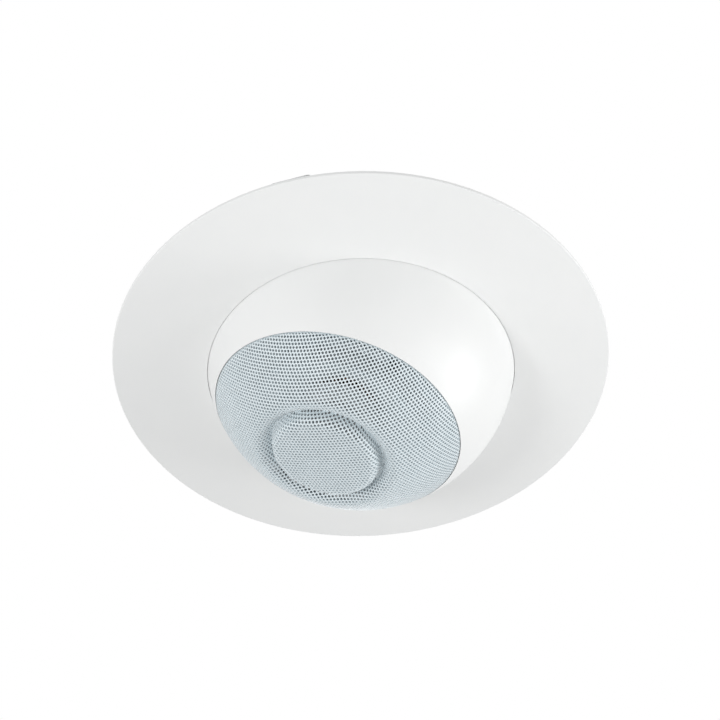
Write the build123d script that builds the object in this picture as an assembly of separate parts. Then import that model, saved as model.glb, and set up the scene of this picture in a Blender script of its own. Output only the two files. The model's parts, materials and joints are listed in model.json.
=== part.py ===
"""Aimable in-ceiling speaker: a ball with a coaxial driver, tilted in a dished ceiling flange.

Millimetres, +Z up into the ceiling. The origin is the centre of the rim's back face, which lies
against the ceiling. Ball pieces are drawn with the ball's centre at the origin and the sound axis
along -Z; "depth" w is the distance from the ball's centre towards the front.
"""
import math
import os

from build123d import *

# Flange
FLANGE_D = 208.0
RIM_T = 1.8
FLANGE_DROP = 5.4
FLANGE_CROWN = 0.5
FLANGE_WALL = 2.6
RIM_LAND = 13.0
RIM_ROUND = 0.5
LIP_T = 3.4
RIB_COUNT = 12
RIB_T = 1.6
RIB_SINK = 0.4
GASKET_W = 5.0
GASKET_T = 1.0
GASKET_INSET = 3.5

# Ball
BALL_D = 130.0
BALL_RISE = 4.0
BALL_WALL = 3.0
TILT = 16.0
LIP_GAP = 0.2
SPLIT_BACK = 18.0

# Swivel ring, its collar and the retaining ring
SWIVEL_GAP = 0.7
SWIVEL_WALL = 5.6
SWIVEL_H = 16.6
COLLAR_GAP = 0.45
COLLAR_WALL = 4.4
COLLAR_FOOT = 1.5
FELT_T = 1.0
FELT_W = 4.0
RETAIN_GAP = 0.3
RETAIN_T = 3.0
LUG_W = 1.4
LUG_RISE = 2.8
LUG_ANGLE = 8.0
LUG_GAP = 0.5

# Trunnions of the tilt, along Y
TRUNNION_D = 6.0
TRUNNION_THREAD_D = 4.0
TRUNNION_THREAD_L = 10.0
TRUNNION_HEAD_D = 9.0
TRUNNION_HEAD_T = 1.4
BUSH_WALL = 1.2
RUNNING_GAP = 0.06
SEAT_GAP = 0.05
TRUNNION_BOSS_D = 12.0

# Ceiling clips
CLIP_COUNT = 3
CLIP_AZIMUTH = 266.0
CLIP_SHEET = 1.2
CLIP_BASE_W = 28.0
CLIP_PIVOT_INSET = 6.0
CLIP_PIVOT_RISE = 13.0
CLIP_EAR_R = 4.0
CLIP_PIN_D = 3.0
CLIP_PIN_HEAD_D = 4.8
CLIP_PIN_HEAD_T = 0.8
CLIP_ARM_W = 9.6
CLIP_ARM_L = 30.0
CLIP_ARM_DROOP = 43.0
CLIP_ARM_SHEET = 1.0
CLIP_CHEEK_L = 19.0
CLIP_SIDE_GAP = 0.3
CLIP_STOP_W = 5.0
FOOT_W = 16.0
FOOT_L = 9.5
FOOT_DEPTH = 6.0
FOOT_SKIN = 1.5
FOOT_ROUND = 1.8
SPRING_WIRE = 1.0
SPRING_TURNS = 6
SPRING_GAP = 0.4
SPRING_LEG = 11.0
CLIP_SCREW_OFFSET = 10.4

# Screws
RETAIN_SCREW_D = 2.4
RETAIN_SCREW_L = 11.0
RETAIN_HEAD_D = 4.4
RETAIN_HEAD_T = 1.8
SHELL_SCREW_COUNT = 4
SHELL_SCREW_D = 2.9
SHELL_SCREW_L = 14.0
SHELL_SCREW_INSET = 8.0
SHELL_HEAD_D = 5.6
SHELL_HEAD_T = 2.2
SHELL_BOSS_D = 7.6
SHELL_SEAT_T = 4.0
DRIVER_SCREW_COUNT = 4
DRIVER_SCREW_D = 2.6
DRIVER_SCREW_L = 10.0
DRIVER_HEAD_D = 4.8
DRIVER_HEAD_T = 1.6
DRIVER_BOSS_D = 6.0
BOARD_SCREW_COUNT = 3
BOARD_SCREW_D = 2.4
BOARD_SCREW_L = 7.0
BOARD_HEAD_D = 4.4
BOARD_HEAD_T = 1.4
TERMINAL_SCREW_COUNT = 2
TERMINAL_SCREW_D = 2.0
TERMINAL_SCREW_L = 4.4
TERMINAL_HEAD_D = 3.8
TERMINAL_HEAD_T = 1.1
SLOT_DEPTH = 0.7
SLOT_W = 0.8
CUT_MARGIN = 1.0

# Grille
GRILLE_HALF_ANGLE = 53.0
GRILLE_T = 0.8
GRILLE_EDGE_GAP = 0.4
GRILLE_EDGE_DEPTH = 2.0
GRILLE_SKIRT = 4.3
GRILLE_BEND = 1.0
RIDGE_R = 28.2
RIDGE_ROUND = 4.5
GROOVE_FLOOR_R = 23.45
GROOVE_FLOOR_W = 0.5
GROOVE_DEPTH = 4.6
BUTTON_R = 21.9
BUTTON_EDGE_RISE = 1.2
BUTTON_CROWN = 1.3
BUTTON_ROUND = 2.2
HOLE_D = 5.0
HOLE_PITCH = 10.2
HOLE_EDGE = 2.2

# Woofer
BAFFLE_T = 3.0
DRIVER_EDGE_GAP = 2.2
DRIVER_RIM_W = 9.6
DRIVER_RIM_T = 2.0
DRIVER_GASKET_T = 0.8
BASKET_T = 1.5
BASKET_RAKE = 0.6
BASKET_GAP = 0.4
BASKET_WINDOWS = 4
BASKET_WINDOW_ANGLE = 62.0
CONE_T = 0.6
CONE_DEPTH = 13.5
SURROUND_W = 5.6
SURROUND_T = 0.7
SURROUND_GAP = 0.3
COIL_R = 12.5
FORMER_T = 0.3
WINDING_T = 0.5
WINDING_H = 8.0
COIL_GAP = 0.7
SPIDER_T = 0.6
SPIDER_W = 15.0
SPIDER_DEPTH = 15.0
SPIDER_WAVES = 3
TOP_PLATE_R = 33.0
TOP_PLATE_T = 4.0
TOP_PLATE_DEPTH = 8.0
MAGNET_R = 35.0
MAGNET_HOLE_R = 17.0
MAGNET_T = 14.0
BACK_PLATE_R = 32.0
BACK_PLATE_T = 5.0

# Tweeter on its post
POST_R = 4.0
TWEETER_CLEAR = 3.35
TWEETER_R = 16.0
TWEETER_T = 9.0
TWEETER_WALL = 1.6
TWEETER_MAGNET_R = 9.5
TWEETER_MAGNET_T = 5.0
FACEPLATE_T = 1.6
FACEPLATE_LAND = 1.2
DOME_R = 11.5
DOME_RISE = 4.0
DOME_T = 0.5

# Rear of the ball
CUP_FLANGE_R = 23.4
CUP_FLANGE_T = 1.9
CUP_R = 18.6
CUP_DEPTH = 14.0
CUP_WALL = 1.6
CUP_PAD_T = 3.2
CUP_GAP = 0.4
LEVER_W = 8.4
LEVER_L = 15.0
LEVER_T = 2.6
LEVER_PITCH = 10.4
LEVER_HINGE_Y = 6.5
LEVER_HINGE_RISE = 5.4
LEVER_BARREL_R = 2.0
LEVER_STUB_R = 1.2
LEVER_STUB_L = 0.9
LEVER_EAR_D = 5.6
LEVER_EAR_T = 1.4
CONTACT_T = 0.5
CONTACT_W = 5.0
CONTACT_L = 11.0
BOARD_R = 36.0
BOARD_T = 1.6
BOARD_BACK = 26.0
BOARD_POST_R = 31.0
BOARD_POST_D = 6.4
INDUCTOR_R = 9.0
INDUCTOR_BORE_R = 4.0
INDUCTOR_H = 10.0
INDUCTOR_X = -18.0
CAPACITOR_D = 10.0
CAPACITOR_L = 17.0
CAPACITOR_X = 15.0
CAPACITOR_SPACING = 11.0
RESISTOR_W = 5.0
RESISTOR_L = 17.0
RESISTOR_Y = -22.0
FOAM_T = 5.5
FOAM_GAP = 0.4
FOAM_FRONT = 22.0
FOAM_BACK = 44.0
SEAL_W = 1.4
SEAL_T = 0.8

# Derived places
FLANGE_R = FLANGE_D / 2
BALL_R = BALL_D / 2
BALL_IN_R = BALL_R - BALL_WALL
LIP_Z = -(RIM_T + FLANGE_DROP)
LIP_SEAT_R = BALL_R + LIP_GAP
LIP_R = math.sqrt(LIP_SEAT_R**2 - (BALL_RISE - LIP_Z) ** 2)
FLOOR_Z = LIP_Z + LIP_T
SWIVEL_IR = BALL_R + SWIVEL_GAP
SWIVEL_OR = SWIVEL_IR + SWIVEL_WALL
SWIVEL_Z = FLOOR_Z + FELT_T
SWIVEL_TOP = SWIVEL_Z + SWIVEL_H
COLLAR_IR = SWIVEL_OR + COLLAR_GAP
COLLAR_OR = COLLAR_IR + COLLAR_WALL
COLLAR_TOP = SWIVEL_TOP + RETAIN_GAP
RETAIN_TOP = COLLAR_TOP + RETAIN_T
LUG_IR = SWIVEL_IR + RETAIN_GAP
RETAIN_IR = LUG_IR + LUG_W + LUG_GAP
CLIP_SCREW_R = (COLLAR_IR + COLLAR_OR) / 2
CLIP_PIVOT_R = COLLAR_OR - CLIP_PIVOT_INSET
CLIP_BASE_TOP = RETAIN_TOP + CLIP_SHEET
CLIP_PIVOT_Z = RETAIN_TOP + CLIP_PIVOT_RISE
CLIP_EAR_IN = CLIP_ARM_W / 2 + CLIP_SIDE_GAP
SPRING_R = CLIP_PIN_D / 2 + SPRING_GAP + SPRING_WIRE / 2
ARM_PLATE_LOW = SPRING_R - SPRING_WIRE / 2 - CLIP_ARM_SHEET - SEAT_GAP
ARM_PLATE_START = SPRING_R + SPRING_WIRE
GRILLE_R = BALL_R * math.sin(math.radians(GRILLE_HALF_ANGLE))
GRILLE_EDGE_W = BALL_R * math.cos(math.radians(GRILLE_HALF_ANGLE))
BORE_R = GRILLE_R + SEAT_GAP
BAFFLE_W = GRILLE_EDGE_W - GRILLE_SKIRT
DRIVER_R = GRILLE_R - GRILLE_T - DRIVER_EDGE_GAP
BASKET_MOUTH_R = DRIVER_R - DRIVER_RIM_W + BASKET_T + BASKET_RAKE
DRIVER_BORE_R = BASKET_MOUTH_R + BASKET_GAP
DRIVER_SCREW_R = DRIVER_R - DRIVER_HEAD_D / 2 - SURROUND_GAP
RIM_FRONT_W = BAFFLE_W + DRIVER_GASKET_T + DRIVER_RIM_T
RIM_BACK_W = BAFFLE_W + DRIVER_GASKET_T
BASKET_RIM_IR = DRIVER_R - DRIVER_RIM_W
CONE_R = BASKET_RIM_IR - SURROUND_W / 2
FORMER_R = COIL_R + FORMER_T
CONE_BASE_W = RIM_FRONT_W - CONE_DEPTH
TOP_PLATE_BACK = TOP_PLATE_DEPTH - TOP_PLATE_T
MAGNET_BACK = TOP_PLATE_BACK - MAGNET_T
POLE_R = COIL_R - COIL_GAP
GAP_R = FORMER_R + WINDING_T + COIL_GAP
SPIDER_R = FORMER_R + SEAT_GAP + SPIDER_W
TWEETER_BACK = CONE_BASE_W + 2 * CONE_T + TWEETER_CLEAR
TWEETER_FRONT = TWEETER_BACK + TWEETER_T
CUP_SEAT_W = -(math.sqrt((BALL_R - CUP_GAP) ** 2 - CUP_FLANGE_R**2) - CUP_FLANGE_T)
CUP_PAD_W = CUP_SEAT_W + CUP_PAD_T
CUP_FLOOR_W = CUP_SEAT_W + CUP_DEPTH - CUP_WALL
LEVER_HINGE_W = CUP_FLOOR_W - LEVER_HINGE_RISE
SHELL_SCREW_R = BALL_R - SHELL_SCREW_INSET
SHELL_SEAT_W = -(SPLIT_BACK + SHELL_SEAT_T)


def chord_r(sphere_r, w):
    """Radius of a sphere's section at depth w."""
    return math.sqrt(sphere_r**2 - w**2)


def turned(outline):
    """Solid of revolution about Z from a closed outline of edges in the (radius, height) plane."""
    return revolve(Plane.XZ * make_face(outline), Axis.Z)


def lathe(points):
    """Solid of revolution about Z from straight runs between (radius, height) points."""
    return turned(Polyline(*points, close=True))


def depth_lathe(points):
    """As lathe, from (radius, depth) points in the ball's frame."""
    return lathe([(r, -w) for r, w in points])


def ring(inner_r, outer_r, low, high):
    return lathe([(inner_r, low), (outer_r, low), (outer_r, high), (inner_r, high)])


def depth_ring(inner_r, outer_r, back, front):
    return depth_lathe([(inner_r, back), (outer_r, back), (outer_r, front), (inner_r, front)])


def rod(radius, low, high, x=0.0, y=0.0):
    """Upright cylinder between two heights."""
    return Pos(x, y, low) * Cylinder(radius, high - low, align=(Align.CENTER, Align.CENTER, Align.MIN))


def depth_rod(radius, back, front, x=0.0, y=0.0):
    return rod(radius, -front, -back, x, y)


def cross_rod(radius, start, end, z=0.0):
    """Cylinder along Y between two places."""
    lying = Rot(-90, 0, 0) * Cylinder(radius, end - start, align=(Align.CENTER, Align.CENTER, Align.MIN))
    return Pos(0, start, z) * lying


def block(x0, x1, y0, y1, z0, z1):
    low_corner = (Align.MIN, Align.MIN, Align.MIN)
    return Pos(x0, y0, z0) * Box(x1 - x0, y1 - y0, z1 - z0, align=low_corner)


def polar(radius, angle):
    turn = math.radians(angle)
    return radius * math.cos(turn), radius * math.sin(turn)


def sphere_arc(sphere_r, start_w, end_w):
    """Arc of a sphere's outline between two depths, in (radius, height)."""
    start = math.acos(start_w / sphere_r)
    end = math.acos(end_w / sphere_r)
    angles = (start, (start + end) / 2, end)
    points = [(sphere_r * math.sin(a), -sphere_r * math.cos(a)) for a in angles]
    return ThreePointArc(*points)


def cap_arc(edge_r, edge_w, rise):
    """Arc of a shallow dome's outline from its edge to its top on the axis, in (radius, height)."""
    sphere_r = (edge_r**2 + rise**2) / (2 * rise)
    half_angle = math.asin(edge_r / sphere_r) / 2
    centre_w = edge_w + rise - sphere_r
    middle = (sphere_r * math.sin(half_angle), -(centre_w + sphere_r * math.cos(half_angle)))
    return ThreePointArc((edge_r, -edge_w), middle, (0, -(edge_w + rise)))


def screw(shank_d, length, head_d, head_t):
    """Pan-head screw with its head's seat at the origin and its shank along -Z."""
    body = rod(shank_d / 2, -length, 0) + rod(head_d / 2, 0, head_t)
    slot = block(-head_d, head_d, -SLOT_W / 2, SLOT_W / 2, head_t - SLOT_DEPTH, head_t)
    return body - slot


def group(shapes):
    """Separate solids that share one node."""
    return Compound([solid for shape in shapes for solid in shape.solids()])


def in_ball(shape):
    """Place a piece drawn in the ball's frame into the tilted ball."""
    return Pos(0, 0, BALL_RISE) * Rot(0, TILT, 0) * shape


def at_clip(number, shape):
    """Place a piece drawn with X outward and the origin on the axis beside a clip."""
    return Rot(0, 0, CLIP_AZIMUTH + 360.0 / CLIP_COUNT * number) * shape


# Fixed part


def front_z(radius):
    """Height of the flange's dished face, without its crown."""
    return LIP_Z + FLANGE_DROP * (radius - LIP_R) / (FLANGE_R - LIP_R)


def flange():
    land_r = FLANGE_R - RIM_LAND
    recess_r = land_r - FLANGE_WALL
    foot_r = COLLAR_OR + COLLAR_FOOT
    middle_r = (LIP_R + FLANGE_R) / 2
    face = ThreePointArc(
        (LIP_R, LIP_Z), (middle_r, front_z(middle_r) - FLANGE_CROWN), (FLANGE_R, -RIM_T)
    )
    back = Polyline(
        (FLANGE_R, -RIM_T),
        (FLANGE_R, 0),
        (land_r, 0),
        (recess_r, front_z(recess_r) + FLANGE_WALL),
        (foot_r, front_z(foot_r) + FLANGE_WALL),
        (foot_r, -RIB_SINK),
        (COLLAR_OR, -RIB_SINK),
        (COLLAR_OR, COLLAR_TOP),
        (COLLAR_IR, COLLAR_TOP),
        (COLLAR_IR, FLOOR_Z),
        (LIP_R - LIP_T, FLOOR_Z),
        (LIP_R - LIP_T, LIP_Z),
        (LIP_R, LIP_Z),
    )
    body = turned([face, back])
    circles = body.edges().filter_by(GeomType.CIRCLE)
    rim_edges = circles.filter_by(lambda edge: edge.radius > FLANGE_R - SEAT_GAP)
    body = fillet(rim_edges, min(RIM_ROUND, RIM_T / 3))
    body += ribs(land_r)
    body -= Pos(0, 0, BALL_RISE) * Sphere(LIP_SEAT_R)
    groove_r = FLANGE_R - GASKET_INSET
    body -= ring(groove_r - GASKET_W, groove_r, -GASKET_T, RIM_T)
    for x, y in screw_places():
        body -= rod(RETAIN_SCREW_D / 2 + SEAT_GAP, RETAIN_TOP - RETAIN_SCREW_L, COLLAR_TOP + CUT_MARGIN, x, y)
    return body


def ribs(land_r):
    """Radial stiffening ribs in the hollow behind the dished face."""
    inner_r = COLLAR_OR - COLLAR_WALL / 2
    outer_r = land_r + RIB_T
    inner_low = front_z(inner_r) + FLANGE_WALL / 2
    outer_low = front_z(outer_r) + RIM_T / 3
    side = Polyline(
        (inner_r, inner_low), (outer_r, outer_low), (outer_r, -RIB_SINK), (inner_r, -RIB_SINK), close=True
    )
    rib = extrude(Plane.XZ * make_face(side), RIB_T / 2, both=True)
    step = 360.0 / RIB_COUNT
    first = CLIP_AZIMUTH + step / 2
    return [Rot(0, 0, first + step * n) * rib for n in range(RIB_COUNT)]


def ceiling_gasket():
    groove_r = FLANGE_R - GASKET_INSET
    return ring(groove_r - GASKET_W + SEAT_GAP, groove_r - SEAT_GAP, -GASKET_T, 0)


def felt_ring():
    return ring(SWIVEL_OR - FELT_W, SWIVEL_OR, FLOOR_Z, SWIVEL_Z)


def arc_block(inner_r, outer_r, low, high, angle):
    """Block of a ring, centred on the X axis."""
    outline = Polyline((inner_r, low), (outer_r, low), (outer_r, high), (inner_r, high), close=True)
    return Rot(0, 0, -angle / 2) * revolve(Plane.XZ * make_face(outline), Axis.Z, angle)


def retaining_ring():
    body = ring(RETAIN_IR, COLLAR_OR, COLLAR_TOP, RETAIN_TOP)
    body += arc_block(LUG_IR, RETAIN_IR + LUG_W, COLLAR_TOP + RETAIN_GAP, RETAIN_TOP, LUG_ANGLE)
    for x, y in screw_places():
        body -= rod(RETAIN_SCREW_D / 2 + SEAT_GAP, COLLAR_TOP, RETAIN_TOP, x, y)
    return body


def screw_places():
    """Where the six screws go: a pair at each clip's base."""
    spread = math.degrees(math.asin(CLIP_SCREW_OFFSET / CLIP_SCREW_R))
    places = []
    for number in range(CLIP_COUNT):
        azimuth = CLIP_AZIMUTH + 360.0 / CLIP_COUNT * number
        places.append(polar(CLIP_SCREW_R, azimuth - spread))
        places.append(polar(CLIP_SCREW_R, azimuth + spread))
    return places


def retaining_screws():
    one = screw(RETAIN_SCREW_D, RETAIN_SCREW_L, RETAIN_HEAD_D, RETAIN_HEAD_T)
    return group([Pos(x, y, CLIP_BASE_TOP) * one for x, y in screw_places()])


# Ceiling clips, drawn with X outward and Z up


def clip_bracket():
    inner_r = SWIVEL_IR + LUG_W / 2
    half = CLIP_BASE_W / 2
    base = block(inner_r, COLLAR_OR, -half, half, RETAIN_TOP, CLIP_BASE_TOP)
    base &= rod(COLLAR_OR, RETAIN_TOP, CLIP_BASE_TOP)
    body = base
    ear_low = CLIP_PIVOT_R - CLIP_EAR_R
    ear_high = CLIP_PIVOT_R + CLIP_EAR_R
    for side in (CLIP_EAR_IN, -CLIP_EAR_IN - CLIP_SHEET):
        body += block(ear_low, ear_high, side, side + CLIP_SHEET, RETAIN_TOP, CLIP_PIVOT_Z)
        body += Pos(CLIP_PIVOT_R, 0, 0) * cross_rod(CLIP_EAR_R, side, side + CLIP_SHEET, CLIP_PIVOT_Z)
    body += stop_tab()
    body -= Pos(CLIP_PIVOT_R, 0, 0) * cross_rod(CLIP_PIN_D / 2 + SEAT_GAP, -half, half, CLIP_PIVOT_Z)
    for side in (-CLIP_SCREW_OFFSET, CLIP_SCREW_OFFSET):
        x = math.sqrt(CLIP_SCREW_R**2 - side**2)
        body -= rod(RETAIN_SCREW_D / 2 + SEAT_GAP, RETAIN_TOP, CLIP_BASE_TOP, x, side)
    return body


def stop_tab():
    """Tab of the bracket's base that the lowered arm comes to rest on."""
    outer = COLLAR_OR - CLIP_SHEET / 2
    inner = outer - CLIP_SHEET
    droop = math.radians(CLIP_ARM_DROOP)
    along = (outer - CLIP_PIVOT_R - ARM_PLATE_LOW * math.sin(droop)) / math.cos(droop)
    under = CLIP_PIVOT_Z - along * math.sin(droop) + ARM_PLATE_LOW * math.cos(droop)
    half = CLIP_STOP_W / 2
    return block(inner, outer, -half, half, RETAIN_TOP, under - CLIP_SIDE_GAP)


def clip_pin():
    shank_end = CLIP_EAR_IN + CLIP_SHEET + SEAT_GAP
    head_end = shank_end + CLIP_PIN_HEAD_T
    body = cross_rod(CLIP_PIN_D / 2, -head_end, head_end)
    for start in (shank_end, -head_end):
        body += cross_rod(CLIP_PIN_HEAD_D / 2, start, start + CLIP_PIN_HEAD_T)
    return Pos(CLIP_PIVOT_R, 0, CLIP_PIVOT_Z) * body


def clip_spring():
    """Close-wound torsion spring on the pin, one leg on the arm and one on the base."""
    half = SPRING_TURNS * SPRING_WIRE / 2
    bore = SPRING_R - SPRING_WIRE / 2
    outline = [Line((SPRING_R, half), (bore, half)), Line((bore, half), (bore, -half))]
    outline.append(Line((bore, -half), (SPRING_R, -half)))
    for turn in range(SPRING_TURNS):
        low = -half + turn * SPRING_WIRE
        crest = (SPRING_R + SPRING_WIRE / 2, low + SPRING_WIRE / 2)
        outline.append(ThreePointArc((SPRING_R, low), crest, (SPRING_R, low + SPRING_WIRE)))
    coil = Rot(90, 0, 0) * turned(outline)
    leg_y = half - SPRING_WIRE / 2
    leg = Rot(0, 90, 0) * rod(SPRING_WIRE / 2, 0, SPRING_LEG)
    arm_leg = Rot(0, CLIP_ARM_DROOP, 0) * Pos(0, leg_y, SPRING_R) * leg
    base_leg_end = CLIP_BASE_TOP + SEAT_GAP - CLIP_PIVOT_Z
    base_leg = rod(SPRING_WIRE / 2, base_leg_end, 0, -SPRING_R, -leg_y)
    return Pos(CLIP_PIVOT_R, 0, CLIP_PIVOT_Z) * (coil + arm_leg + base_leg)


def lowered(shape):
    """Turn a piece drawn with the arm level into the lowered arm's place."""
    return Pos(CLIP_PIVOT_R, 0, CLIP_PIVOT_Z) * Rot(0, CLIP_ARM_DROOP, 0) * shape


def arm_plate_end():
    return CLIP_ARM_L - FOOT_SKIN


def clip_arm():
    half = CLIP_ARM_W / 2
    plate_high = ARM_PLATE_LOW + CLIP_ARM_SHEET
    body = block(ARM_PLATE_START, arm_plate_end(), -half, half, ARM_PLATE_LOW, plate_high)
    cheek_r = CLIP_EAR_R - CLIP_SHEET / 2
    cheek = Polyline(
        (0, plate_high), (CLIP_CHEEK_L, plate_high), (CLIP_CHEEK_L, ARM_PLATE_LOW), (0, -cheek_r), close=True
    )
    for side in (half, -half + CLIP_ARM_SHEET):
        body += Pos(0, side, 0) * extrude(Plane.XZ * make_face(cheek), CLIP_ARM_SHEET)
        body += cross_rod(cheek_r, side - CLIP_ARM_SHEET, side)
    body -= cross_rod(CLIP_PIN_D / 2 + RUNNING_GAP, -half, half)
    return lowered(body)


def clip_foot():
    half = FOOT_W / 2
    top = ARM_PLATE_LOW + CLIP_ARM_SHEET + FOOT_SKIN
    start = CLIP_ARM_L - FOOT_L
    body = block(start, CLIP_ARM_L, -half, half, top - FOOT_DEPTH, top)
    upright = body.edges().filter_by(Axis.Z)
    long_low = body.edges().filter_by(Axis.Y).group_by(Axis.Z)[0]
    body = fillet(upright + long_low, FOOT_ROUND)
    pocket_half = CLIP_ARM_W / 2 + SEAT_GAP
    plate_low = ARM_PLATE_LOW - SEAT_GAP
    plate_high = ARM_PLATE_LOW + CLIP_ARM_SHEET + SEAT_GAP
    pocket_end = arm_plate_end() + SEAT_GAP
    body -= block(start - CUT_MARGIN, pocket_end, -pocket_half, pocket_half, plate_low, plate_high)
    return lowered(body)


# Swivel


def swivel_ring():
    body = ring(SWIVEL_IR, SWIVEL_OR, SWIVEL_Z, SWIVEL_TOP)
    lug = arc_block(LUG_IR, LUG_IR + LUG_W, SWIVEL_TOP - LUG_W, SWIVEL_TOP + LUG_RISE, LUG_ANGLE)
    body += Rot(0, 0, 180) * lug
    bush_r = bush_outer_r() + SEAT_GAP
    body -= cross_rod(bush_r, -SWIVEL_OR, SWIVEL_OR, BALL_RISE)
    head_r = TRUNNION_HEAD_D / 2 + SWIVEL_GAP / 2
    for side in (1, -1):
        ends = sorted((side * head_seat_y(), side * (SWIVEL_OR + CUT_MARGIN)))
        body -= cross_rod(head_r, ends[0], ends[1], BALL_RISE)
    return body


def bush_outer_r():
    return TRUNNION_D / 2 + RUNNING_GAP + BUSH_WALL


def head_seat_y():
    """Where the trunnion's head bears, sunk below the ring's outside."""
    return SWIVEL_OR - TRUNNION_HEAD_T - 2 * SEAT_GAP - RETAIN_GAP


def trunnion_bushes():
    bore_r = TRUNNION_D / 2 + RUNNING_GAP
    one = cross_rod(bush_outer_r(), SWIVEL_IR, head_seat_y(), BALL_RISE)
    one -= cross_rod(bore_r, SWIVEL_IR, head_seat_y(), BALL_RISE)
    return group([one, Rot(0, 0, 180) * one])


# Ball, drawn in the ball's frame


def trunnion_seat_y():
    """Spot face on the ball where the trunnion's shoulder bears."""
    return BALL_R - LIP_GAP


def ball_front_shell():
    edge_r = GRILLE_R + GRILLE_EDGE_GAP
    edge_w = chord_r(BALL_R, edge_r)
    step_w = GRILLE_EDGE_W - GRILLE_EDGE_DEPTH
    baffle_back = BAFFLE_W - BAFFLE_T
    outline = [
        sphere_arc(BALL_R, edge_w, -SPLIT_BACK),
        Line((chord_r(BALL_R, SPLIT_BACK), SPLIT_BACK), (chord_r(BALL_IN_R, SPLIT_BACK), SPLIT_BACK)),
        sphere_arc(BALL_IN_R, -SPLIT_BACK, baffle_back),
        Polyline(
            (chord_r(BALL_IN_R, baffle_back), -baffle_back),
            (DRIVER_BORE_R, -baffle_back),
            (DRIVER_BORE_R, -BAFFLE_W),
            (BORE_R, -BAFFLE_W),
            (BORE_R, -step_w),
            (edge_r, -step_w),
            (edge_r, -edge_w),
        ),
    ]
    body = turned(outline)
    inside = Sphere(BALL_R - BALL_WALL / 2)
    body += front_bosses() & inside
    for side in (1, -1):
        ends = sorted((side * trunnion_seat_y(), side * BALL_D))
        body -= cross_rod(TRUNNION_D / 2 + SEAT_GAP, ends[0], ends[1])
        thread_ends = sorted((side * (trunnion_seat_y() - TRUNNION_THREAD_L), side * BALL_R))
        body -= cross_rod(TRUNNION_THREAD_D / 2 + SEAT_GAP, thread_ends[0], thread_ends[1])
    for x, y in shell_screw_places():
        body -= depth_rod(SHELL_SCREW_D / 2 + SEAT_GAP, -SPLIT_BACK, shell_screw_end(), x, y)
    for x, y in driver_screw_places():
        body -= depth_rod(DRIVER_SCREW_D / 2 + SEAT_GAP, RIM_FRONT_W - DRIVER_SCREW_L, BAFFLE_W, x, y)
    return body


def shell_screw_end():
    return SHELL_SEAT_W + SHELL_SCREW_L


def front_bosses():
    """Bosses inside the front shell for the trunnions, the rear shell's screws and the driver's."""
    trunnion_end = trunnion_seat_y() - TRUNNION_THREAD_L - BALL_WALL
    one = cross_rod(TRUNNION_BOSS_D / 2, trunnion_end, BALL_R)
    bosses = one + Rot(0, 0, 180) * one
    tip = shell_screw_end() + BALL_WALL
    for n, (x, y) in enumerate(shell_screw_places()):
        bosses += depth_rod(SHELL_BOSS_D / 2, -SPLIT_BACK, tip, x, y)
        web = block(SHELL_SCREW_R, BALL_R, -BALL_WALL / 2, BALL_WALL / 2, -tip, SPLIT_BACK)
        bosses += Rot(0, 0, shell_screw_angle(n)) * web
    driver_tip = RIM_FRONT_W - DRIVER_SCREW_L - BASKET_T
    for x, y in driver_screw_places():
        bosses += depth_rod(DRIVER_BOSS_D / 2, driver_tip, BAFFLE_W - BAFFLE_T / 2, x, y)
    return bosses


def shell_screw_angle(number):
    step = 360.0 / SHELL_SCREW_COUNT
    return step / 2 + step * number


def shell_screw_places():
    return [polar(SHELL_SCREW_R, shell_screw_angle(n)) for n in range(SHELL_SCREW_COUNT)]


def driver_screw_places():
    step = 360.0 / DRIVER_SCREW_COUNT
    return [polar(DRIVER_SCREW_R, step / 2 + step * n) for n in range(DRIVER_SCREW_COUNT)]


def board_screw_places():
    step = 360.0 / BOARD_SCREW_COUNT
    return [polar(BOARD_POST_R, step / 4 + step * n) for n in range(BOARD_SCREW_COUNT)]


def terminal_screw_places():
    radius = (CUP_R + CUP_FLANGE_R) / 2
    step = 360.0 / TERMINAL_SCREW_COUNT
    return [polar(radius, step * n) for n in range(TERMINAL_SCREW_COUNT)]


def ball_rear_shell():
    recess_r = CUP_FLANGE_R + CUP_GAP
    recess_w = -chord_r(BALL_R, recess_r)
    hole_r = CUP_R + SEAT_GAP
    outline = [
        sphere_arc(BALL_R, -SPLIT_BACK, recess_w),
        Polyline(
            (recess_r, -recess_w),
            (recess_r, -CUP_SEAT_W),
            (hole_r, -CUP_SEAT_W),
            (hole_r, -CUP_PAD_W),
            (chord_r(BALL_IN_R, CUP_PAD_W), -CUP_PAD_W),
        ),
        sphere_arc(BALL_IN_R, CUP_PAD_W, -SPLIT_BACK),
        Line((chord_r(BALL_IN_R, SPLIT_BACK), SPLIT_BACK), (chord_r(BALL_R, SPLIT_BACK), SPLIT_BACK)),
    ]
    body = turned(outline)
    inside = Sphere(BALL_R - BALL_WALL / 2)
    posts = [depth_rod(BOARD_POST_D / 2, -BALL_R, board_back_face(), x, y) for x, y in board_screw_places()]
    posts += [depth_rod(SHELL_BOSS_D / 2, -BALL_R, -SPLIT_BACK, x, y) for x, y in shell_screw_places()]
    body += [post & inside for post in posts]
    body -= seal_ring(0)
    for x, y in shell_screw_places():
        body -= depth_rod(SHELL_SCREW_D / 2 + SEAT_GAP, SHELL_SEAT_W, -SPLIT_BACK, x, y)
        body -= depth_rod(SHELL_HEAD_D / 2 + RETAIN_GAP, -BALL_R, SHELL_SEAT_W, x, y)
    for x, y in board_screw_places():
        screw_end = -BOARD_BACK - BOARD_SCREW_L
        body -= depth_rod(BOARD_SCREW_D / 2 + SEAT_GAP, screw_end, board_back_face(), x, y)
    for x, y in terminal_screw_places():
        body -= depth_rod(TERMINAL_SCREW_D / 2 + SEAT_GAP, CUP_SEAT_W, CUP_PAD_W, x, y)
    return body


def board_back_face():
    return -(BOARD_BACK + BOARD_T)


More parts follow.
